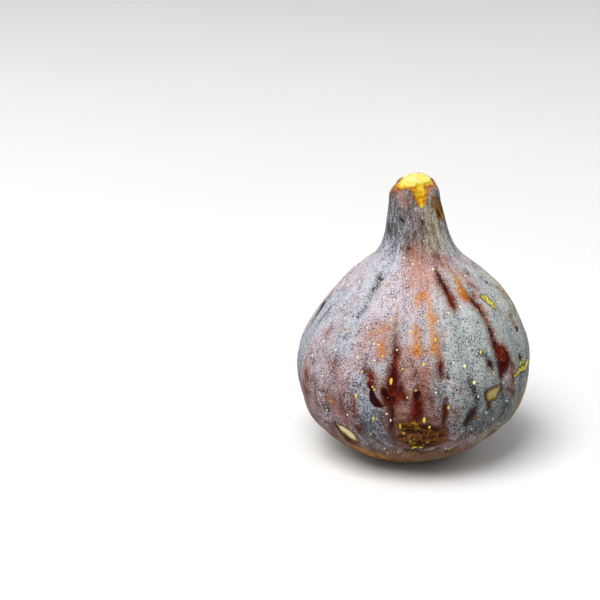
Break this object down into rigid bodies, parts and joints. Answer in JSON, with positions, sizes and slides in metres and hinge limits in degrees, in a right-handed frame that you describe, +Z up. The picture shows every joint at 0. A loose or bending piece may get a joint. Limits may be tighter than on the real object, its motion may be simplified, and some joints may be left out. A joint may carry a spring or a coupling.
{
  "type": "fresh fig",
  "caption": "Whole fresh purple fig, as picked, standing on its eye end with its neck up and the stalk cut across.",
  "frame": {"origin": "on the surface that the fig stands on, under the middle of its width and depth", "axes": "+Z up from the eye to the cut stalk, -Y the front, +X to the right seen from the front"},
  "size_m": [0.0522, 0.0532, 0.0637],
  "materials": {
    "fig_skin": null
  },
  "bodies": {
    "root": {"fig": "fig_skin"}
  },
  "joints": []
}
